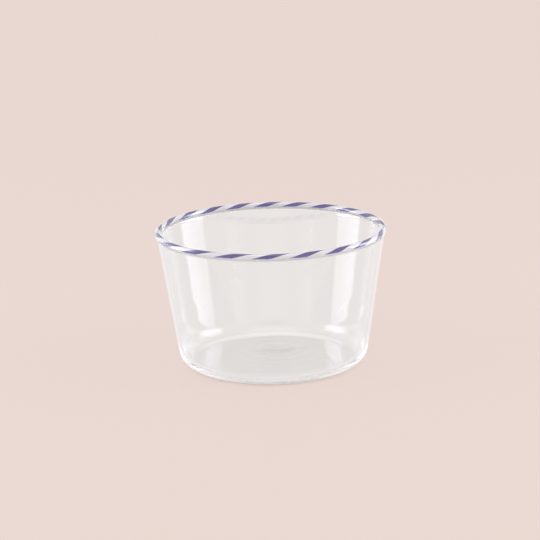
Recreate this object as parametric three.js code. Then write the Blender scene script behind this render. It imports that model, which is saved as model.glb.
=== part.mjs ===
// A clear dessert bowl: a blown glass shell with a twisted glass cane fused round its lip.
// The cane is a pale rod that carries two blue stripes, laid in helical grooves along it.
// Millimetres, +Z up. The origin is the centre of the flat foot.

import * as THREE from 'three';

// Overall sizes
const rimDiameter = 119.5; // across the outside of the cane
const bowlHeight = 71.6; // from the foot to the top of the cane
const footDiameter = 81; // flat face that the bowl stands on

// Blown shell
const wallThickness = 2;
const floorThickness = 3;
const outerCornerRadius = 9; // between foot and wall, outside
const innerCornerRadius = 6.5; // between floor and wall, inside

// Twisted cane on the lip
const caneDiameter = 3.4;
const caneOverhang = 0.2; // the cane's centre stands this far outside the wall's middle
const lipClearance = 0.3; // between the lip's seat and the cane

// Blue stripes, flush with the cane's surface
const stripeWidth = 2.5; // round the cane's surface
const stripeThickness = 0.4;
const stripeClearance = 0.3; // between a stripe and its groove
const stripeCount = 2;

// Twist of the cane, as angles of its section at each angle round the rim
const twistTurns = 10; // full turns of the section in one lap of the rim
const twistStart = THREE.MathUtils.degToRad(96.5);
const slowDrift = THREE.MathUtils.degToRad(61); // unevenness of a hand-turned twist
const slowDriftFrom = THREE.MathUtils.degToRad(-37.7);
const quickDrift = THREE.MathUtils.degToRad(24.7);
const quickDriftFrom = THREE.MathUtils.degToRad(151.7);

// Fineness of the faceted surfaces
const shellSegments = 80; // round the bowl
const cornerSegments = 7; // along each corner's arc
const lipSegments = 4; // across the lip's seat
const caneSteps = 120; // along the cane
const arcSegments = 3; // across a stripe, a groove or the land between two grooves

// Places that the pieces share
const caneRadius = caneDiameter / 2;
const caneRingRadius = rimDiameter / 2 - caneRadius;
const caneHeight = bowlHeight - caneRadius;
const footRadius = footDiameter / 2;
const halfWall = wallThickness / 2;
const halfStripe = stripeWidth / 2 / caneRadius;
const grooveRadius = caneRadius - stripeThickness - stripeClearance;
const halfGroove = halfStripe + stripeClearance / grooveRadius;
const stripePitch = (2 * Math.PI) / stripeCount;

const clearGlass = new THREE.MeshStandardMaterial({
  color: 0xe9e4e1,
  roughness: 0.04,
  metalness: 0,
  transparent: true,
  opacity: 0.35,
});
const paleCane = new THREE.MeshStandardMaterial({
  color: 0xf2eff2,
  roughness: 0.05,
  metalness: 0,
  transparent: true,
  opacity: 0.75,
});
const blueGlass = new THREE.MeshStandardMaterial({
  color: 0x534aa0,
  roughness: 0.08,
  metalness: 0,
});

// Points of an arc in the bowl's section, from one angle to another.
function arcPoints(centre, radius, fromAngle, toAngle, segments) {
  const points = [];
  for (let i = 0; i <= segments; i += 1) {
    const angle = THREE.MathUtils.lerp(fromAngle, toAngle, i / segments);
    const x = centre.x + radius * Math.cos(angle);
    const y = centre.y + radius * Math.sin(angle);
    points.push(new THREE.Vector2(x, y));
  }
  return points;
}

// The shell's section: x is the radius and y the height. The wall leaves the corner arcs on a
// tangent and ends under the cane, which overhangs it on the outside.
function shellProfile() {
  const caneCentre = new THREE.Vector2(caneRingRadius, caneHeight);
  const outerCorner = new THREE.Vector2(footRadius, outerCornerRadius);
  const span = caneCentre.clone().sub(outerCorner);
  const outside = halfWall - caneOverhang; // from the cane's centre to the wall's outer face
  const inside = halfWall + caneOverhang;
  const lean = Math.atan2(span.x, span.y) - Math.asin((outerCornerRadius - outside) / span.length());
  const outward = new THREE.Vector2(Math.cos(lean), -Math.sin(lean));

  const innerCornerHeight = floorThickness + innerCornerRadius;
  const innerReach = caneCentre.dot(outward) - inside - innerCornerRadius;
  const innerCornerX = (innerReach - innerCornerHeight * outward.y) / outward.x;
  const innerCorner = new THREE.Vector2(innerCornerX, innerCornerHeight);

  const seatRadius = caneRadius + lipClearance;
  const seatFrom = -Math.PI / 2 - lean + Math.asin(outside / seatRadius);
  const seatTo = -Math.PI / 2 - lean - Math.asin(inside / seatRadius);

  return [
    new THREE.Vector2(0, 0),
    ...arcPoints(outerCorner, outerCornerRadius, -Math.PI / 2, -lean, cornerSegments),
    ...arcPoints(caneCentre, seatRadius, seatFrom, seatTo, lipSegments),
    ...arcPoints(innerCorner, innerCornerRadius, -lean, -Math.PI / 2, cornerSegments),
    new THREE.Vector2(0, floorThickness),
  ];
}

function makeBowlBody() {
  const geometry = new THREE.LatheGeometry(shellProfile(), shellSegments);
  geometry.rotateX(Math.PI / 2);
  const mesh = new THREE.Mesh(geometry, clearGlass);
  mesh.name = 'bowl_body';
  return mesh;
}

// Angle that the cane's section has turned through, at an angle round the rim.
function twistAt(angle) {
  const slow = slowDrift * Math.sin(angle + slowDriftFrom);
  const quick = quickDrift * Math.sin(2 * angle + quickDriftFrom);
  return twistStart + twistTurns * angle + slow + quick;
}

// Radius and angle pairs along an arc of the cane's section.
function sectionArc(radius, fromAngle, toAngle) {
  const pairs = [];
  for (let i = 0; i <= arcSegments; i += 1) {
    pairs.push({ radius, angle: THREE.MathUtils.lerp(fromAngle, toAngle, i / arcSegments) });
  }
  return pairs;
}

// The cane's section: a round rod with one groove for each stripe.
function caneSection() {
  const section = [];
  for (let i = 0; i < stripeCount; i += 1) {
    const middle = i * stripePitch;
    section.push(...sectionArc(grooveRadius, middle - halfGroove, middle + halfGroove));
    section.push(...sectionArc(caneRadius, middle + halfGroove, middle + stripePitch - halfGroove));
  }
  return section;
}

// A stripe's section: flush outside, and clear of its groove by the stripe clearance.
function stripeSection(middle) {
  return [
    ...sectionArc(caneRadius - stripeThickness, middle + halfStripe, middle - halfStripe),
    ...sectionArc(caneRadius, middle - halfStripe, middle + halfStripe),
  ];
}

// A section carried once round the rim while it turns with the twist, closed on itself.
function twistedRing(section) {
  const positions = [];
  const indices = [];
  const count = section.length;
  for (let step = 0; step < caneSteps; step += 1) {
    const around = (2 * Math.PI * step) / caneSteps;
    const turned = twistAt(around);
    for (const { radius, angle } of section) {
      const reach = caneRingRadius + radius * Math.cos(angle + turned);
      const height = caneHeight + radius * Math.sin(angle + turned);
      positions.push(reach * Math.cos(around), reach * Math.sin(around), height);
    }
  }
  for (let step = 0; step < caneSteps; step += 1) {
    const here = step * count;
    const next = ((step + 1) % caneSteps) * count;
    for (let i = 0; i < count; i += 1) {
      const j = (i + 1) % count;
      indices.push(here + i, next + i, next + j);
      indices.push(here + i, next + j, here + j);
    }
  }
  const geometry = new THREE.BufferGeometry();
  geometry.setAttribute('position', new THREE.Float32BufferAttribute(positions, 3));
  geometry.setIndex(indices);
  geometry.computeVertexNormals();
  return geometry;
}

function makeRimCane() {
  const mesh = new THREE.Mesh(twistedRing(caneSection()), paleCane);
  mesh.name = 'rim_cane';
  return mesh;
}

function makeBlueStripe(index) {
  const mesh = new THREE.Mesh(twistedRing(stripeSection(index * stripePitch)), blueGlass);
  mesh.name = `blue_stripe_${index + 1}`;
  return mesh;
}

const bowl = new THREE.Group();
bowl.add(makeBowlBody());
bowl.add(makeRimCane());
for (let i = 0; i < stripeCount; i += 1) {
  bowl.add(makeBlueStripe(i));
}

export default bowl;
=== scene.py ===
"""A clear blown glass dessert bowl with a twisted cane of milky and blue glass on its lip.

The shell is drawn as a section and spun. The cane and its stripes are drawn straight, twisted step by step
and bent into a ring, as a glass worker makes them. Metres, +Z up, the foot's centre at the origin.
"""

import math

import bpy
from bpy.props import FloatProperty, FloatVectorProperty, IntProperty, PointerProperty
from mathutils import Matrix, Vector


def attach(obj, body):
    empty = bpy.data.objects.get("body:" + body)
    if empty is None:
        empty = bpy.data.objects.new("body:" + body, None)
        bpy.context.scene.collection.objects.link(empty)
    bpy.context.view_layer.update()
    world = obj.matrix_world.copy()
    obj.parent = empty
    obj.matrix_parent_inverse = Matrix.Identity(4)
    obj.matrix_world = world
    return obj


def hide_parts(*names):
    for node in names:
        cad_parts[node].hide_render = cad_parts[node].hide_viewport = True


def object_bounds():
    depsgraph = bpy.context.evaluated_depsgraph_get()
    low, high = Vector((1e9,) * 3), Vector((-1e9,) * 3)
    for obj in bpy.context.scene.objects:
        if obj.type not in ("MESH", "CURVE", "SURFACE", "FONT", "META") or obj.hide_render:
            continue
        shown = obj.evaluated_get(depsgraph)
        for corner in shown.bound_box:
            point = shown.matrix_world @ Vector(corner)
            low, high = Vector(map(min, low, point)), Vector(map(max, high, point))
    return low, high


bl_info = {
    "name": "Dessert Bowl",
    "version": (1, 0, 0),
    "blender": (4, 5, 0),
    "location": "View3D > Sidebar > Dessert Bowl",
    "description": "Makes a clear glass dessert bowl with a twisted blue and milky cane on its lip",
    "category": "Add Mesh",
}

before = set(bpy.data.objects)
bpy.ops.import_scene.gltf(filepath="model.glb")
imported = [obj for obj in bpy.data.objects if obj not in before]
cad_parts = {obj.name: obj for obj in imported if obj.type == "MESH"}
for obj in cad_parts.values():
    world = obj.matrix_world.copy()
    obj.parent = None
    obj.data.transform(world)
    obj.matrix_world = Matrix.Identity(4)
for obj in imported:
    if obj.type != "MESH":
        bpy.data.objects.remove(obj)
cad_low, cad_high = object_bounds()


class ShellShape(bpy.types.PropertyGroup):
    """Sizes of the blown shell."""

    rim_diameter: FloatProperty(
        name="Rim diameter",
        description="Across the outside of the cane on the lip",
        default=2 * min(cad_high.x, -cad_low.x),
        subtype="DISTANCE",
    )
    height: FloatProperty(
        name="Height",
        description="From the foot to the top of the cane",
        default=cad_high.z - cad_low.z,
        subtype="DISTANCE",
    )
    foot_diameter: FloatProperty(
        name="Foot diameter",
        description="Across the flat face that the bowl stands on",
        default=0.081,
        subtype="DISTANCE",
    )
    wall: FloatProperty(
        name="Wall thickness",
        description="Thickness of the flared wall",
        default=0.002,
        subtype="DISTANCE",
    )
    floor: FloatProperty(
        name="Floor thickness",
        description="Thickness of the flat floor",
        default=0.003,
        subtype="DISTANCE",
    )
    outer_corner: FloatProperty(
        name="Outer corner radius",
        description="Between the foot and the wall, outside",
        default=0.009,
        subtype="DISTANCE",
    )
    inner_corner: FloatProperty(
        name="Inner corner radius",
        description="Between the floor and the wall, inside",
        default=0.0065,
        subtype="DISTANCE",
    )
    fillet: FloatProperty(
        name="Lip fillet",
        description="Radius of the hollow inside the lip, where the cane melted into it",
        default=0.003,
        subtype="DISTANCE",
    )
    bead_drop: FloatProperty(
        name="Lip bead drop",
        description="How far the clear bead outside the lip runs down below the cane's side",
        default=0.00125,
        subtype="DISTANCE",
    )
    bead_round: FloatProperty(
        name="Lip bead rounding",
        description="Radius of the bead's lower edge",
        default=0.0006,
        subtype="DISTANCE",
    )
    bead_hollow: FloatProperty(
        name="Lip bead hollow",
        description="Radius of the hollow between the bead and the wall",
        default=0.0004,
        subtype="DISTANCE",
    )
    bead_turn: FloatProperty(
        name="Lip bead turn",
        description="How far below the cane's side the bead starts",
        default=math.radians(8),
        subtype="ANGLE",
    )
    swirl_height: FloatProperty(
        name="Swirl height",
        description="Height of the rings that blowing left on the floor",
        default=0.0002,
        subtype="DISTANCE",
    )
    swirl_middle: FloatVectorProperty(
        name="Swirl middle",
        description="Middle of the rings, which is off the bowl's axis",
        default=(0.0026, 0.0089, 0.003),
        subtype="TRANSLATION",
        size=3,
    )


class CaneShape(bpy.types.PropertyGroup):
    """Sizes and twist of the cane on the lip."""

    diameter: FloatProperty(
        name="Cane diameter",
        description="Across the pale rod",
        default=0.0034,
        subtype="DISTANCE",
    )
    overhang: FloatProperty(
        name="Overhang",
        description="How far the cane's centre stands outside the wall's middle",
        default=0.0002,
        subtype="DISTANCE",
    )
    stripe_width: FloatProperty(
        name="Stripe width",
        description="Width of a blue stripe, as an angle of the cane's section",
        default=math.radians(90),
        subtype="ANGLE",
    )
    stripe_depth: FloatProperty(
        name="Stripe depth",
        description="How deep a stripe reaches into the cane",
        default=0.0003,
        subtype="DISTANCE",
    )
    seam: FloatProperty(
        name="Seam",
        description="Between two pieces of glass that are melted together",
        default=0.00001,
        subtype="DISTANCE",
    )
    turns: IntProperty(
        name="Turns",
        description="Full turns of the section in one lap of the rim",
        default=10,
    )
    start: FloatProperty(
        name="Start",
        description="Turn of the section at the +X side",
        default=math.radians(96.5),
        subtype="ANGLE",
    )
    slow_drift: FloatProperty(
        name="Slow drift",
        description="Unevenness of the hand-turned twist, once round the rim",
        default=math.radians(61),
        subtype="ANGLE",
    )
    slow_from: FloatProperty(
        name="Slow drift from",
        description="Where round the rim the slow drift starts",
        default=math.radians(-37.7),
        subtype="ANGLE",
    )
    quick_drift: FloatProperty(
        name="Quick drift",
        description="Unevenness of the hand-turned twist, twice round the rim",
        default=math.radians(24.7),
        subtype="ANGLE",
    )
    quick_from: FloatProperty(
        name="Quick drift from",
        description="Where round the rim the quick drift starts",
        default=math.radians(151.7),
        subtype="ANGLE",
    )


class GlassFinish(bpy.types.PropertyGroup):
    """Colours of the glass."""

    clear: FloatVectorProperty(
        name="Clear glass",
        description="Tint of the shell",
        default=(0.985, 0.99, 0.985),
        subtype="COLOR",
        size=3,
    )
    cane: FloatVectorProperty(
        name="Cane glass",
        description="Tint of the pale rod",
        default=(0.81, 0.805, 0.855),
        subtype="COLOR",
        size=3,
    )
    # Painted shade and light: the stripe's colour runs from dark on top of the cane to light low on it, as
    # light from below would make it, not by the glass's thickness.
    blue: FloatVectorProperty(
        name="Blue glass",
        description="Colour of a stripe on top of the cane, where it lies thick",
        default=(0.1, 0.075, 0.24),
        subtype="COLOR",
        size=3,
    )
    # Painted light: this lighter colour low on the cane stands in for light from below.
    lit_blue: FloatVectorProperty(
        name="Thin blue glass",
        description="Colour of a stripe low on the cane, where it runs thin",
        default=(0.18, 0.15, 0.5),
        subtype="COLOR",
        size=3,
    )
    # A stripe's paler edges, and also the painted light at the lowest part of the cane.
    edge_and_lit_blue: FloatVectorProperty(
        name="Blue glass edge",
        description="Colour of a stripe's edges, where it runs into the pale rod",
        default=(0.48, 0.44, 0.74),
        subtype="COLOR",
        size=3,
    )
    bend: FloatProperty(
        name="Index of refraction",
        description="How strongly the glass bends light",
        default=1.47,
    )


class Studio(bpy.types.PropertyGroup):
    """The floor, the lights and the camera."""

    floor_colour: FloatVectorProperty(
        name="Floor colour",
        description="Colour of the pale floor",
        default=(0.83, 0.7, 0.65),
        subtype="COLOR",
        size=3,
    )
    glass_view: FloatVectorProperty(
        name="Floor through glass",
        description="Tone of the floor where it is seen through glass",
        default=(0.817, 0.775, 0.758),
        subtype="COLOR",
        size=3,
    )
    mirror_view: FloatVectorProperty(
        name="Floor mirrored in glass",
        description="Tone of the floor where it is mirrored on the outside of the glass",
        default=(1.0, 0.98, 1.0),
        subtype="COLOR",
        size=3,
    )
    distance: FloatProperty(
        name="Camera distance",
        description="From the camera to the middle of its view",
        default=1,
        subtype="DISTANCE",
    )
    elevation: FloatProperty(
        name="Camera elevation",
        description="Angle of the camera above the horizon",
        default=math.radians(14.65),
        subtype="ANGLE",
    )
    roll: FloatProperty(
        name="Camera roll",
        description="Turn of the camera about its own line of sight",
        default=math.radians(-1.46),
        subtype="ANGLE",
    )
    lens: FloatProperty(
        name="Lens",
        description="Focal length in millimetres on a 36 mm sensor",
        default=128.44,
    )
    aim: FloatVectorProperty(
        name="Aim",
        description="Point in the middle of the camera's view",
        default=(-0.00088, 0, 0.04848),
        subtype="TRANSLATION",
        size=3,
    )
    box_distance: FloatProperty(
        name="Softbox distance",
        description="From the bowl's axis to each softbox",
        default=0.22,
        subtype="DISTANCE",
    )
    box_width: FloatProperty(
        name="Softbox width",
        description="Width of each softbox",
        default=0.145,
        subtype="DISTANCE",
    )
    box_height: FloatProperty(
        name="Softbox height",
        description="Height of each softbox above the floor",
        default=0.4,
        subtype="DISTANCE",
    )
    box_glow: FloatProperty(
        name="Softbox glow",
        description="Brightness of a softbox's face, where 1 is white",
        default=2.5,
    )
    key_glow: FloatProperty(
        name="Key light",
        description="Brightness of the key softboxes, where 1 is white",
        default=1.5,
    )
    floor_glow: FloatProperty(
        name="Floor glow",
        description="Share of the floor's tone that no shadow reaches",
        default=0.88,
        subtype="FACTOR",
    )
    contact: FloatProperty(
        name="Contact shadow",
        description="How much less of that share is left close to the foot",
        default=0.4,
        subtype="FACTOR",
    )


class Wire:
    """A socket of a node tree. Sums of wires and numbers add their Math nodes."""

    def __init__(self, tree, socket=None):
        self.tree = tree
        self.socket = socket

    def node(self, kind, settings=None, inputs=None, output=0):
        """Adds a node, makes its settings, fills its sockets and returns one of its outputs."""
        made = self.tree.nodes.new(kind)
        for name, value in (settings or {}).items():
            if name == "stops":
                set_stops(made.color_ramp, value)
            else:
                setattr(made, name, value)
        for name, value in (inputs or {}).items():
            if isinstance(value, Wire):
                self.tree.links.new(value.socket, made.inputs[name])
            else:
                made.inputs[name].default_value = value
        if not made.outputs:
            return None
        return Wire(self.tree, made.outputs[output])

    def sum(self, operation, first, second):
        """Adds a Math node."""
        return self.node("ShaderNodeMath", {"operation": operation}, {0: first, 1: second})

    def __add__(self, other):
        return self.sum("ADD", self, other)

    def __radd__(self, other):
        return self.sum("ADD", other, self)

    def __sub__(self, other):
        return self.sum("SUBTRACT", self, other)

    def __rsub__(self, other):
        return self.sum("SUBTRACT", other, self)

    def __mul__(self, other):
        return self.sum("MULTIPLY", self, other)

    def __rmul__(self, other):
        return self.sum("MULTIPLY", other, self)

    def vector(self, operation, other):
        """Adds a Vector Math node that works on this wire and another vector."""
        return self.node("ShaderNodeVectorMath", {"operation": operation}, {0: self, 1: other}, "Vector")

    def length(self):
        """The length of the vector on this wire."""
        return self.node("ShaderNodeVectorMath", {"operation": "LENGTH"}, {0: self}, "Value")

    def noise(self, scale, detail):
        """Soft noise at the places on this wire."""
        return self.node("ShaderNodeTexNoise", None, {"Vector": self, "Scale": scale, "Detail": detail}, "Fac")

    def fade(self, first, last):
        """Goes softly from 0 to 1 while this wire goes from the first number to the last."""
        return self.node(
            "ShaderNodeMapRange",
            {"interpolation_type": "SMOOTHSTEP"},
            {"Value": self, "From Min": first, "From Max": last},
            "Result",
        )

    def blend(self, first, last):
        """Goes from the first colour to the last while this wire goes from 0 to 1."""
        return self.node(
            "ShaderNodeMix",
            {"data_type": "RGBA"},
            {"Factor": self, "A": first, "B": last},
            "Result",
        )

    def ramp(self, *stops):
        """The colour of a ramp with these stops, at the place on this wire."""
        return self.node("ShaderNodeValToRGB", {"stops": stops}, {"Fac": self}, "Color")


def set_stops(ramp, stops):
    """Gives a colour ramp these stops, as places and colours."""
    while len(ramp.elements) > 1:
        ramp.elements.remove(ramp.elements[-1])
    ramp.elements[0].position = stops[0][0]
    ramp.elements[0].color = stops[0][1]
    for place, colour in stops[1:]:
        ramp.elements.new(place).color = colour


def opaque(colour):
    """A colour with its alpha."""
    return (*colour, 1)


def new_material(name):
    """An empty material and the wire that starts its nodes."""
    material = bpy.data.materials.new(name)
    material.use_nodes = True
    material.node_tree.nodes.clear()
    return material, Wire(material.node_tree)


# How light passes through each kind of glass
CLEAR = {"Transmission Weight": 1.0}
MILKY = {
    "Transmission Weight": 0.1,
    "Subsurface Weight": 0.35,
    "Subsurface Radius": (1.0, 1.0, 1.0),
    "Subsurface Scale": 0.0003,
    "Coat Weight": 1.0,
}
DENSE = {"Transmission Weight": 0.1, "Coat Weight": 1.0}

# Faces of the cane that are melted to a neighbour, and their painted glow: an emission that stands in for
# light carried inside the milky glass
SEAM_TINT = (0.97, 0.97, 0.98)
SEAM_PAINTED_GLOW = 0.11

# Grain of the tint and height of the flame's waves, on the shell and on the cane
SHELL_GRAIN = 60.0
SHELL_SWELL = 0.00003
CANE_GRAIN = 160.0
CANE_SWELL = 0.0001
WAVE_STRENGTH = 0.25
HAZE = 0.02

# The grey mark in the middle of the floor
SPOT_STRETCH = (0.55, 1, 1)
SPOT_RAGGED = 0.012
SPOT_CORE = 0.002
SPOT_EDGE = 0.0085
SPOT_TONE = 0.86

# Streaks in the blue stripes, and where across a stripe its edge begins and ends
STREAK_GRAIN = 420.0
STREAK_SHARE = 0.4
STREAK_ROUGH = 0.1
EDGE_FROM = 0.8
EDGE_TO = 1.1


def seam_material(name, tint, body, painted_glow):
    """A face where two pieces are melted together, which light crosses without bending.

    Milky glass also has a painted glow there: a little emission, though it is no lamp, that stands in for the
    light it carries down from its open side.
    """
    material, start = new_material(name)
    sockets = {"Base Color": opaque(tint), "Roughness": 0.0, "IOR": 1.0}
    # Painted light: the seam's emission makes it glow though it is no lamp.
    lit = {"Coat Weight": 0.0, "Emission Color": opaque(tint), "Emission Strength": painted_glow}
    surface = start.node("ShaderNodeBsdfPrincipled", None, {**sockets, **body, **lit}, "BSDF")
    start.node("ShaderNodeOutputMaterial", None, {"Surface": surface})
    return material


def glass_material(name, tint, bend, body, grain, swell, mark=None):
    """Fire-polished glass with a faint change of tint, the flame's soft waves and perhaps a darker grey spot.
    """
    material, start = new_material(name)
    place = start.node("ShaderNodeTexCoord", output="Object")
    cloud = place.noise(grain, 2.0)
    colour = cloud.blend(opaque(tint), opaque([0.5 + 0.5 * part for part in tint]))
    if mark:
        drawn = place.vector("SUBTRACT", mark).vector("MULTIPLY", SPOT_STRETCH)
        ragged = (place.noise(3 * grain, 2.0) - 0.5) * SPOT_RAGGED
        inside = (drawn.length() + ragged).fade(SPOT_EDGE, SPOT_CORE)
        colour = inside.blend(colour, opaque([SPOT_TONE * part for part in tint]))
    haze = place.noise(3 * grain, 3.0)
    wave = place.noise(grain, 1.0)
    waves = {"Strength": WAVE_STRENGTH, "Distance": swell, "Height": wave}
    normal = start.node("ShaderNodeBump", None, waves, "Normal")
    sockets = {"Base Color": colour, "Roughness": haze * HAZE, "IOR": bend, "Normal": normal}
    surface = start.node("ShaderNodeBsdfPrincipled", None, {**sockets, **body}, "BSDF")
    start.node("ShaderNodeOutputMaterial", None, {"Surface": surface})
    return material


def blue_material(finish, middle, radius):
    """Violet-blue glass with painted shading: darker on top of the cane and lighter low on it, as light from
    below would make it; paler along a stripe's edges.
    """
    material, start = new_material("blue_glass")
    across = start.node("ShaderNodeAttribute", {"attribute_name": "across"}, output="Fac")
    place = start.node("ShaderNodeTexCoord", output="Object")
    streak = place.noise(STREAK_GRAIN, 3.0)
    height = start.node("ShaderNodeSeparateXYZ", None, {"Vector": place}, "Z")
    # Painted shade and light by height: darker on top of the cane, lighter low on it, with streaks that break
    # it up.
    low = height.fade(middle + radius, middle - radius)
    share = start.node("ShaderNodeClamp", None, {"Value": low + (streak - 0.5) * STREAK_SHARE}, "Result")
    thick = (0.05, opaque(finish.blue))
    thin = (0.8, opaque(finish.lit_blue))
    lit_lowest = (1.0, opaque(finish.edge_and_lit_blue))
    body = share.ramp(thick, thin, lit_lowest)
    colour = across.fade(EDGE_FROM, EDGE_TO).blend(body, opaque(finish.edge_and_lit_blue))
    sockets = {"Base Color": colour, "Roughness": streak * STREAK_ROUGH + 0.02, "IOR": finish.bend}
    surface = start.node("ShaderNodeBsdfPrincipled", None, {**sockets, **DENSE}, "BSDF")
    start.node("ShaderNodeOutputMaterial", None, {"Surface": surface})
    return material


# Fineness of the meshes
SPIN_STEPS = 200
CORNER_STEPS = 20
WALL_STEPS = 24
SEAT_STEPS = 24
FILLET_STEPS = 14
HOLLOW_STEPS = 8
BEAD_STEPS = 10
BEAD_SIDE_STEPS = 6
FLOOR_RINGS = 110
CANE_STEPS = 360
GROOVE_STEPS = 10
LAND_STEPS = 14
STRIPE_STEPS = 12
MERGE = 0.000002
SMOOTH = math.radians(50)


def arc(centre, radius, first, last, count):
    """Points along an arc of the section, both ends included."""
    points = []
    for step in range(count + 1):
        angle = first + (last - first) * step / count
        points.append(centre + radius * Vector((math.cos(angle), math.sin(angle))))
    return points


def line(first, last, count):
    """Points along a straight stretch of the section, without its ends."""
    return [first.lerp(last, step / count) for step in range(1, count)]


def cane_core(shell, cane):
    """Radius and height of the cane's middle line."""
    return shell.rim_diameter / 2 - cane.diameter / 2, shell.height - cane.diameter / 2


def outer_centre(shell):
    """Centre of the outer corner's arc in the section."""
    return Vector((shell.foot_diameter / 2, shell.outer_corner))


def wall_faces(shell, cane):
    """How far the wall's outer and inner faces lie from the cane's middle."""
    return shell.wall / 2 - cane.overhang, shell.wall / 2 + cane.overhang


def wall_lean(shell, cane):
    """Angle between the wall and the bowl's axis, on a tangent to the outer corner."""
    span = Vector(cane_core(shell, cane)) - outer_centre(shell)
    outside = wall_faces(shell, cane)[0]
    return math.atan2(span.x, span.y) - math.asin((shell.outer_corner - outside) / span.length)


def wall_axes(lean):
    """The directions straight out of the wall and up along it."""
    outward = Vector((math.cos(lean), -math.sin(lean)))
    upward = Vector((math.sin(lean), math.cos(lean)))
    return outward, upward


def shell_section(shell, cane):
    """The shell's section, as radius and height, from the foot's centre to the floor's centre."""
    core = Vector(cane_core(shell, cane))
    outer = outer_centre(shell)
    outside, inside = wall_faces(shell, cane)
    lean = wall_lean(shell, cane)
    outward = wall_axes(lean)[0]

    inner_height = shell.floor + shell.inner_corner
    reach = core.dot(outward) - inside - shell.inner_corner
    inner = Vector(((reach - inner_height * outward.y) / outward.x, inner_height))

    bead = lip_bead(shell, cane, core, lean, outside)
    inner_fillet, inner_turn = lip_fillet(shell, cane, core, lean, inside)
    seat_radius = cane.diameter / 2 + cane.seam
    seat = arc(core, seat_radius, -shell.bead_turn - lean, inner_turn - math.pi - lean, SEAT_STEPS)

    foot = [Vector((outer.x * share, 0)) for share in (0, 0.33, 0.66)]
    outer_arc = arc(outer, shell.outer_corner, -math.pi / 2, -lean, CORNER_STEPS)
    inner_arc = arc(inner, shell.inner_corner, -lean, -math.pi / 2, CORNER_STEPS)
    outer_wall = line(outer_arc[-1], bead[0], WALL_STEPS)
    inner_wall = line(inner_fillet[0], inner_arc[0], WALL_STEPS)

    floor = []
    for step in range(1, FLOOR_RINGS + 1):
        radius = inner.x * (1 - step / FLOOR_RINGS)
        floor.append(Vector((radius, shell.floor)))
    lip = [*bead, *seat, *reversed(inner_fillet)]
    return [*foot, *outer_arc, *outer_wall, *lip, *inner_wall, *inner_arc, *floor]


def lip_bead(shell, cane, core, lean, reach):
    """The clear bead from the wall's outer face up to the cane's side."""
    outward, upward = wall_axes(lean)
    touch = cane.diameter / 2 + 3 * cane.seam
    start = -shell.bead_turn - lean
    facing = Vector((math.cos(start), math.sin(start)))
    down = Vector((facing.y, -facing.x))
    top = core + touch * facing
    middle = top + shell.bead_drop * down - shell.bead_round * facing
    across = reach + shell.bead_hollow - (middle - core).dot(outward)
    drop = math.sqrt((shell.bead_round + shell.bead_hollow) ** 2 - across**2)
    hollow = middle + across * outward - drop * upward
    turn = math.atan2(drop, across)
    low = arc(hollow, shell.bead_hollow, math.pi - lean, math.pi - turn - lean, HOLLOW_STEPS)
    edge = arc(middle, shell.bead_round, -turn - lean, start, BEAD_STEPS)
    return [*low, *edge[1:], *line(edge[-1], top, BEAD_SIDE_STEPS), top]


def lip_fillet(shell, cane, core, lean, reach):
    """The hollow from the wall's inner face up to the cane, and the angle at which it meets the cane."""
    touch = cane.diameter / 2 + 3 * cane.seam
    across = reach + shell.fillet
    drop = math.sqrt((touch + shell.fillet) ** 2 - across**2)
    turn = math.atan2(drop, across)
    outward, upward = wall_axes(lean)
    centre = core - across * outward - drop * upward
    return arc(centre, shell.fillet, -lean, turn - lean, FILLET_STEPS), turn


def place_in_cane(shell, cane, point):
    """A point's distance from the cane's middle line, and its angle round it from straight outwards."""
    ring, height = cane_core(shell, cane)
    outward = math.hypot(point.x, point.y) - ring
    upward = point.z - height
    return math.hypot(outward, upward), math.atan2(upward, outward)


def start_piece():
    """Leaves nothing selected, ready for a new primitive."""
    if bpy.context.mode != "OBJECT":
        bpy.ops.object.mode_set(mode="OBJECT")
    bpy.ops.object.select_all(action="DESELECT")


def draw_chain(points):
    """Draws a chain of edges through points, by extruding one corner after another."""
    bpy.ops.mesh.primitive_plane_add(size=0.001, location=points[0])
    bpy.ops.object.mode_set(mode="EDIT")
    bpy.ops.mesh.select_all(action="SELECT")
    bpy.ops.mesh.merge(type="CENTER")
    for here, there in zip(points, points[1:]):
        bpy.ops.mesh.extrude_vertices_move(TRANSFORM_OT_translate={"value": there - here})


def close_skin():
    """Merges the doubles of the piece in edit mode, turns its faces outwards and leaves edit mode."""
    bpy.ops.mesh.select_all(action="SELECT")
    bpy.ops.mesh.remove_doubles(threshold=MERGE)
    bpy.ops.mesh.normals_make_consistent(inside=False)
    bpy.ops.object.mode_set(mode="OBJECT")


def apply_place():
    """Moves the active piece's place, turn and scale into its mesh."""
    bpy.ops.object.transform_apply(location=True, rotation=True, scale=True)


def dress(piece, name, node, slot, *materials):
    """Names a finished piece, gives it its glass and ties it to the model."""
    piece.name = name
    piece.data.name = name
    piece.data.materials.clear()
    for material in materials:
        piece.data.materials.append(material)
    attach(piece, "root")
    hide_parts(node)


def twist_at(cane, angle):
    """Angle that the cane's section has turned through, at an angle round the rim."""
    slow = cane.slow_drift * math.sin(angle + cane.slow_from)
    quick = cane.quick_drift * math.sin(2 * angle + cane.quick_from)
    return cane.start + cane.turns * angle + slow + quick


def section_arc(radius, first, last, count):
    """Radius and angle of points along an arc of the cane's section.

    Narrow facets at both ends keep the shading true up to the arc's corners.
    """
    narrow = math.radians(0.6)
    angles = [first]
    for step in range(count + 1):
        angles.append(first + narrow + (last - first - 2 * narrow) * step / count)
    angles.append(last)
    return [(radius, angle) for angle in angles]


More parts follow.
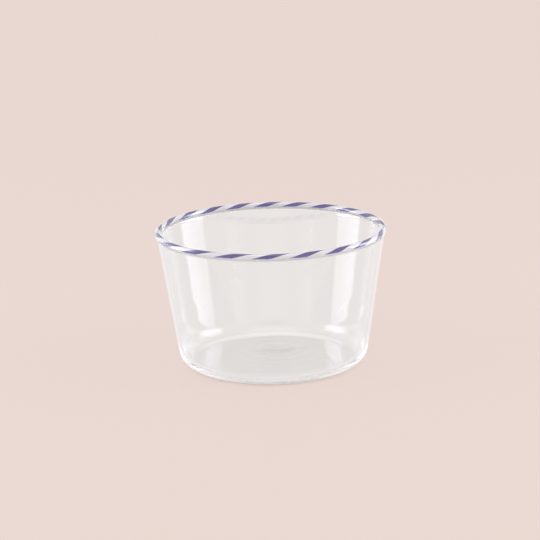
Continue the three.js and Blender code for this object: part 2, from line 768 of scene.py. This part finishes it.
def rod_section(cane):
    """The rod's section, with a groove for each stripe."""
    radius = cane.diameter / 2
    half = cane.stripe_width / 2 + cane.seam / radius
    section = []
    for middle in (0, math.pi):
        section += section_arc(radius - cane.stripe_depth, middle - half, middle + half, GROOVE_STEPS)
        section += section_arc(radius, middle + half, middle + math.pi - half, LAND_STEPS)
    return [*section, section[0]]


def stripe_section(cane, middle):
    """A stripe's section, which fills its groove."""
    radius = cane.diameter / 2
    depth = radius - cane.stripe_depth + cane.seam
    half = cane.stripe_width / 2
    outside = section_arc(radius, middle - half, middle + half, STRIPE_STEPS)
    inside = section_arc(depth, middle - half, middle + half, GROOVE_STEPS)
    section = [*outside, *reversed(inside)]
    return [*section, section[0]]


def draw_twisted(shell, cane, section):
    """Draws a section, carries it straight along X while it twists, and bends it into the rim's ring."""
    ring, height = cane_core(shell, cane)
    length = math.tau * ring
    back = -1.5 * math.pi
    points = []
    for radius, angle in section:
        points.append(Vector((-length / 2, -radius * math.cos(angle), radius * math.sin(angle))))
    draw_chain(points)
    piece = bpy.context.object
    bpy.ops.mesh.select_all(action="SELECT")
    bpy.ops.transform.rotate(value=twist_at(cane, back), orient_axis="X", center_override=(-length / 2, 0, 0))
    for step in range(CANE_STEPS):
        here = twist_at(cane, back + math.tau * step / CANE_STEPS)
        there = twist_at(cane, back + math.tau * (step + 1) / CANE_STEPS)
        place = -length / 2 + length * (step + 1) / CANE_STEPS
        bpy.ops.mesh.extrude_edges_move(TRANSFORM_OT_translate={"value": (length / CANE_STEPS, 0, 0)})
        bpy.ops.transform.rotate(value=there - here, orient_axis="X", center_override=(place, 0, 0))
    bpy.ops.object.mode_set(mode="OBJECT")
    apply_place()
    curl = piece.modifiers.new("curl", "SIMPLE_DEFORM")
    curl.deform_method = "BEND"
    curl.deform_axis = "Z"
    curl.angle = math.tau
    bpy.ops.object.modifier_apply(modifier=curl.name)
    piece.location = (0, -ring, height)
    apply_place()
    bpy.ops.object.mode_set(mode="EDIT")
    close_skin()
    bpy.ops.object.shade_smooth_by_angle(angle=SMOOTH)
    return piece


def mark_seams(piece, shell, cane):
    """Gives the faces that are melted to a neighbour the piece's second material."""
    core = Vector(cane_core(shell, cane))
    inside = wall_faces(shell, cane)[1]
    lean = wall_lean(shell, cane)
    inner_turn = lip_fillet(shell, cane, core, lean, inside)[1]
    skin = cane.diameter / 2 - cane.stripe_depth / 5
    for face in piece.data.polygons:
        distance, angle = place_in_cane(shell, cane, face.center)
        on_lip = inner_turn - math.pi - lean < angle < -shell.bead_turn - lean
        face.material_index = int(distance < skin or on_lip)


# The rings on the floor, each with its distance from their middle, its share of the height and its width
SWIRL_RINGS = (
    (0.0, -1.0, 0.0045),
    (0.0105, 0.35, 0.002),
    (0.0175, 0.25, 0.002),
    (0.0255, 0.15, 0.002),
)
SWIRL_REACH = 0.03
SWIRL_STOPS = 30
SWIRL_FADE = 0.006
FLAT = 0.00001


class BOWL_OT_shell(bpy.types.Operator):
    """Blow the clear shell"""

    bl_idname = "dessert_bowl.shell"
    bl_label = "Blow the shell"

    def execute(self, context):
        scene = context.scene
        shell = scene.bowl_shell
        cane = scene.bowl_cane
        finish = scene.bowl_finish
        start_piece()
        draw_chain([Vector((point.x, 0, point.y)) for point in shell_section(shell, cane)])
        bpy.ops.mesh.select_all(action="SELECT")
        bpy.ops.mesh.spin(steps=SPIN_STEPS, angle=math.tau, center=(0, 0, 0), axis=(0, 0, 1))
        close_skin()
        apply_place()
        bpy.ops.object.shade_smooth_by_angle(angle=SMOOTH)
        piece = context.object
        self.press_swirl(piece, shell)
        look = (finish.clear, finish.bend, CLEAR, SHELL_GRAIN, SHELL_SWELL, shell.swirl_middle)
        glass = glass_material("clear_glass", *look)
        seam = seam_material("lip_seam", (1, 1, 1), CLEAR, 0.0)
        dress(piece, "glass_shell", "bowl_body", "clear_glass", glass, seam)
        touch = cane.diameter / 2 + 2 * cane.seam
        for face in piece.data.polygons:
            distance = place_in_cane(shell, cane, face.center)[0]
            face.material_index = int(distance < touch)
        return {"FINISHED"}

    def press_swirl(self, piece, shell):
        """Presses the rings of the gather into the floor's upper face."""
        texture = bpy.data.textures.new("swirl", "BLEND")
        texture.progression = "SPHERICAL"
        texture.use_color_ramp = True
        stops = []
        for step in range(SWIRL_STOPS + 1):
            distance = SWIRL_REACH * (1 - step / SWIRL_STOPS)
            rise = 0
            for place, share, width in SWIRL_RINGS:
                rise += share * math.exp(-(((distance - place) / width) ** 2))
            tone = 0.5 + rise / 2
            stops.append((step / SWIRL_STOPS, (tone, tone, tone, 1)))
        set_stops(texture.color_ramp, stops)
        floor = piece.vertex_groups.new(name="floor")
        edge = shell.foot_diameter / 2
        for vertex in piece.data.vertices:
            if abs(vertex.co.z - shell.floor) < FLAT:
                fade = max(0.0, min(1.0, (edge - vertex.co.xy.length) / SWIRL_FADE))
                floor.add([vertex.index], fade, "REPLACE")
        bpy.ops.object.empty_add(location=shell.swirl_middle)
        middle = bpy.context.object
        middle.scale = (SWIRL_REACH, SWIRL_REACH, SWIRL_REACH)
        start_piece()
        bpy.context.view_layer.objects.active = piece
        piece.select_set(True)
        swirl = piece.modifiers.new("swirl", "DISPLACE")
        swirl.texture = texture
        swirl.texture_coords = "OBJECT"
        swirl.texture_coords_object = middle
        swirl.vertex_group = floor.name
        swirl.direction = "Z"
        swirl.mid_level = 0.5
        swirl.strength = 2 * shell.swirl_height
        bpy.ops.object.modifier_apply(modifier=swirl.name)
        piece.vertex_groups.clear()
        bpy.data.objects.remove(middle)


class BOWL_OT_cane(bpy.types.Operator):
    """Draw the milky rod, twist it and bend it round the lip"""

    bl_idname = "dessert_bowl.cane"
    bl_label = "Bend the cane"

    def execute(self, context):
        scene = context.scene
        shell = scene.bowl_shell
        cane = scene.bowl_cane
        finish = scene.bowl_finish
        start_piece()
        piece = draw_twisted(shell, cane, rod_section(cane))
        glass = glass_material("cane_glass", finish.cane, finish.bend, MILKY, CANE_GRAIN, CANE_SWELL)
        seam = seam_material("cane_seam", SEAM_TINT, MILKY, SEAM_PAINTED_GLOW)
        dress(piece, "glass_cane", "rim_cane", "cane_glass", glass, seam)
        mark_seams(piece, shell, cane)
        return {"FINISHED"}


class BOWL_OT_stripes(bpy.types.Operator):
    """Lay the two blue stripes along the cane"""

    bl_idname = "dessert_bowl.stripes"
    bl_label = "Lay the stripes"

    def execute(self, context):
        scene = context.scene
        shell = scene.bowl_shell
        cane = scene.bowl_cane
        finish = scene.bowl_finish
        blue = blue_material(finish, cane_core(shell, cane)[1], cane.diameter / 2)
        seam = seam_material("blue_seam", SEAM_TINT, MILKY, SEAM_PAINTED_GLOW)
        for index in range(2):
            start_piece()
            middle = math.pi * index
            piece = draw_twisted(shell, cane, stripe_section(cane, middle))
            self.mark_across(piece, shell, cane, middle)
            dress(piece, f"blue_thread_{index + 1}", f"blue_stripe_{index + 1}", "blue_glass", blue, seam)
            mark_seams(piece, shell, cane)
        return {"FINISHED"}

    def mark_across(self, piece, shell, cane, middle):
        """Writes how far each point lies from the stripe's middle line, as a share of half its width."""
        mark = piece.data.attributes.new("across", "FLOAT", "POINT")
        for vertex in piece.data.vertices:
            around = math.atan2(vertex.co.y, vertex.co.x)
            angle = place_in_cane(shell, cane, vertex.co)[1] - twist_at(cane, around) - middle
            angle = (angle + math.pi) % math.tau - math.pi
            mark.data[vertex.index].value = abs(angle) / (cane.stripe_width / 2)


# The floor, and how far from the bowl's axis its contact shadow ends and is deepest
FLOOR_SIZE = 16
FLOOR_DROP = 0.0001
CONTACT_EDGE = 0.048
CONTACT_CORE = 0.041
MIRRORED_SHARE = 0.9
THROUGH_SHARE = 0.97

# What lies round the bowl at each height: the light that falls on it, and the backdrop that glass shows
SKY = (
    (0.0, (0.75, 0.74, 0.73, 1)),
    (0.35, (0.6, 0.6, 0.6, 1)),
    (0.75, (0.75, 0.75, 0.75, 1)),
    (1.0, (1.0, 1.0, 1.0, 1)),
)
BACKDROP = (
    (0.0, (1.3, 1.27, 1.26, 1)),
    (0.12, (1.1, 1.08, 1.07, 1)),
    (0.2, (0.53, 0.52, 0.52, 1)),
    (0.3, (0.6, 0.59, 0.59, 1)),
    (0.85, (0.65, 0.65, 0.65, 1)),
    (0.93, (1.8, 1.8, 1.8, 1)),
)
FLATS = (1.05, 1.02, 1.01, 1)
FLATS_FROM = 0.02
FLATS_TO = 0.12

# The softboxes, each with its place on the right, its width and height, and how it is turned
BOX_COLOUR = (0.9, 0.92, 1.1)
STRIP_BACK = 0.055
STRIP_TURN = math.radians(102)
STRIP_SPREAD = math.radians(90)
SILL_PLACE = (0.095, 0.039, 0.0008)
SILL_SIZE = (0.059, 0.016)
SILL_ROLL = math.radians(6.1)
TOE_PLACE = (0.058, 0.034, 0.0003)
TOE_SIZE = (0.034, 0.0086)
LOW_SPREAD = math.radians(76)
FOOT_PLACE = (0.4, 0.028, 0.21)
FOOT_SIZE = (0.2, 0.26)
FOOT_SHARE = 1.5
KEY_COLOUR = (1, 1, 1)
KEY_PLACE = (0.8, -0.15, 0.45)
KEY_SIZE = (0.7, 0.8)

# Light turns many times in the thick base before it leaves
MOST_BOUNCES = 200
GLASS_BOUNCES = 128

SENSOR_WIDTH = 36


class BOWL_OT_stage(bpy.types.Operator):
    """Set the pale floor, the soft lights and the camera"""

    bl_idname = "dessert_bowl.stage"
    bl_label = "Set the stage"

    def execute(self, context):
        scene = context.scene
        studio = scene.bowl_studio
        start_piece()
        self.lay_floor(studio)
        self.hang_world(scene, studio)
        for name, side in (("left", -1), ("right", 1)):
            self.light_side(studio, name, side)
        self.place_camera(scene, studio)
        scene.view_settings.view_transform = "Standard"
        scene.cycles.max_bounces = MOST_BOUNCES
        scene.cycles.glossy_bounces = GLASS_BOUNCES
        scene.cycles.transmission_bounces = GLASS_BOUNCES
        return {"FINISHED"}

    def lay_floor(self, studio):
        """Lays the pale floor, which has its own tone where glass mirrors it or shows it."""
        bpy.ops.mesh.primitive_plane_add(size=FLOOR_SIZE, location=(0, 0, -FLOOR_DROP))
        floor = bpy.context.object
        floor.name = "floor"
        material, start = new_material("pale_floor")
        seen = start.node("ShaderNodeLightPath", output="Is Camera Ray")
        mirrored = start.node("ShaderNodeLightPath", output="Is Glossy Ray")
        through = start.node("ShaderNodeLightPath", output="Is Transmission Ray")
        place = start.node("ShaderNodeTexCoord", output="Object")
        near = place.length().fade(CONTACT_EDGE, CONTACT_CORE)
        direct = seen * (studio.floor_glow - near * studio.contact)
        share = direct + mirrored * (1 - through) * MIRRORED_SHARE + through * THROUGH_SHARE
        in_glass = through.blend(opaque(studio.mirror_view), opaque(studio.glass_view))
        tone = mirrored.blend(opaque(studio.floor_colour), in_glass)
        matt = start.node("ShaderNodeBsdfDiffuse", None, {"Color": opaque(studio.floor_colour)}, "BSDF")
        glow = start.node("ShaderNodeEmission", None, {"Color": tone}, "Emission")
        mixed = start.node("ShaderNodeMixShader", None, {0: share, 1: matt, 2: glow}, "Shader")
        start.node("ShaderNodeOutputMaterial", None, {"Surface": mixed})
        floor.data.materials.append(material)

    def hang_world(self, scene, studio):
        """Hangs the plain backdrop: one tone for the camera, one for glass and one that lights the bowl."""
        world = bpy.data.worlds.new("studio")
        world.use_nodes = True
        world.node_tree.nodes.clear()
        scene.world = world
        start = Wire(world.node_tree)
        ray = start.node("ShaderNodeTexCoord", output="Generated")
        height = start.node("ShaderNodeSeparateXYZ", None, {"Vector": ray}, "Z")
        sideways = start.node("ShaderNodeSeparateXYZ", None, {"Vector": ray}, "X")
        side = (sideways * sideways).fade(FLATS_FROM, FLATS_TO)
        shown = side.blend(height.ramp(*BACKDROP), FLATS)
        mirrored = start.node("ShaderNodeLightPath", output="Is Glossy Ray")
        behind = mirrored.blend(height.ramp(*SKY), shown)
        camera_ray = start.node("ShaderNodeLightPath", output="Is Camera Ray")
        colour = camera_ray.blend(behind, opaque(studio.floor_colour))
        glow = start.node("ShaderNodeBackground", None, {"Color": colour, "Strength": 1.0}, "Background")
        start.node("ShaderNodeOutputWorld", None, {"Surface": glow})

    def light_side(self, studio, name, side):
        """Hangs one side's softboxes: a tall strip, two low ones that carry it on, the foot's and the key."""
        upright = math.pi / 2
        turned = (upright, 0, side * STRIP_TURN)
        rolled = (upright, -side * SILL_ROLL, side * STRIP_TURN)
        square = (upright, 0, side * math.pi / 2)
        strip_place = (studio.box_distance, STRIP_BACK, studio.box_height / 2)
        strip_size = (studio.box_width, studio.box_height)
        foot_glow = FOOT_SHARE * studio.box_glow
        softboxes = (
            ("strip", strip_place, turned, strip_size, studio.box_glow, STRIP_SPREAD),
            ("sill", SILL_PLACE, rolled, SILL_SIZE, studio.box_glow, LOW_SPREAD),
            ("toe", TOE_PLACE, turned, TOE_SIZE, studio.box_glow, LOW_SPREAD),
            ("foot", FOOT_PLACE, square, FOOT_SIZE, foot_glow, math.pi),
        )
        for kind, place, turn, size, glow, spread in softboxes:
            softbox = self.place_softbox(f"{kind}_{name}", place, side, turn)
            self.set_softbox(softbox, size, glow, spread)
            self.show_mirrored(softbox)
        key = self.place_softbox(f"key_{name}", KEY_PLACE, side, square)
        self.set_softbox(key, KEY_SIZE, studio.key_glow, math.pi)
        key.data.color = KEY_COLOUR
        key.visible_glossy = False
        key.visible_transmission = False

    def place_softbox(self, name, place, side, turn):
        """Hangs a softbox that the camera doesn't see."""
        where = (side * place[0], place[1], place[2])
        bpy.ops.object.light_add(type="AREA", location=where, rotation=turn)
        softbox = bpy.context.object
        softbox.name = name
        softbox.visible_camera = False
        softbox.data.color = BOX_COLOUR
        return softbox

    def set_softbox(self, softbox, size, glow, spread):
        """Sets a softbox's size, the brightness of its face seen straight on, and how widely that shows."""
        width, height = size
        half = math.tan(spread / 2)
        peak = half / (half - spread / 2)
        softbox.data.shape = "RECTANGLE"
        softbox.data.size = width
        softbox.data.size_y = height
        softbox.data.spread = spread
        softbox.data.energy = glow * math.pi * width * height / peak

    def show_mirrored(self, softbox):
        """Lets a softbox show only where glass mirrors it, not on the floor or straight through a wall."""
        softbox.visible_diffuse = False
        softbox.data.use_nodes = True
        tree = softbox.data.node_tree
        times = Wire(tree).node("ShaderNodeLightPath", output="Glossy Depth")
        once = times.sum("MINIMUM", times, 1.0)
        tree.links.new(once.socket, tree.nodes["Emission"].inputs["Strength"])

    def place_camera(self, scene, studio):
        """Sets the camera at the studio's angle and aims it."""
        aim = Vector(studio.aim)
        back = Vector((0, -math.cos(studio.elevation), math.sin(studio.elevation)))
        bpy.ops.object.camera_add(location=aim + studio.distance * back)
        camera = bpy.context.object
        level = (-back).to_track_quat("-Z", "Y").to_matrix().to_4x4()
        look = level @ Matrix.Rotation(studio.roll, 4, "Z")
        camera.rotation_euler = look.to_euler()
        camera.data.sensor_width = SENSOR_WIDTH
        camera.data.lens = studio.lens
        scene.camera = camera


class BOWL_PT_panel(bpy.types.Panel):
    """Lists the bowl's pieces and its sizes"""

    bl_idname = "BOWL_PT_panel"
    bl_label = "Dessert Bowl"
    bl_space_type = "VIEW_3D"
    bl_region_type = "UI"
    bl_category = "Dessert Bowl"

    def draw(self, context):
        for name, group, operator in STEPS:
            box = self.layout.box()
            box.label(text=name)
            settings = getattr(context.scene, group)
            for key in settings.__annotations__:
                box.prop(settings, key)
            box.operator(operator)


STEPS = (
    ("Shell", "bowl_shell", "dessert_bowl.shell"),
    ("Cane", "bowl_cane", "dessert_bowl.cane"),
    ("Stripes", "bowl_finish", "dessert_bowl.stripes"),
    ("Stage", "bowl_studio", "dessert_bowl.stage"),
)
GROUPS = {
    "bowl_shell": ShellShape,
    "bowl_cane": CaneShape,
    "bowl_finish": GlassFinish,
    "bowl_studio": Studio,
}
CLASSES = (
    ShellShape,
    CaneShape,
    GlassFinish,
    Studio,
    BOWL_OT_shell,
    BOWL_OT_cane,
    BOWL_OT_stripes,
    BOWL_OT_stage,
    BOWL_PT_panel,
)


def register():
    for each in CLASSES:
        bpy.utils.register_class(each)
    for name, group in GROUPS.items():
        setattr(bpy.types.Scene, name, PointerProperty(type=group))


def unregister():
    for name in GROUPS:
        delattr(bpy.types.Scene, name)
    for each in reversed(CLASSES):
        bpy.utils.unregister_class(each)


def main():
    register()
    bpy.ops.dessert_bowl.shell()
    bpy.ops.dessert_bowl.cane()
    bpy.ops.dessert_bowl.stripes()
    bpy.ops.dessert_bowl.stage()


if __name__ == "__main__":
    main()
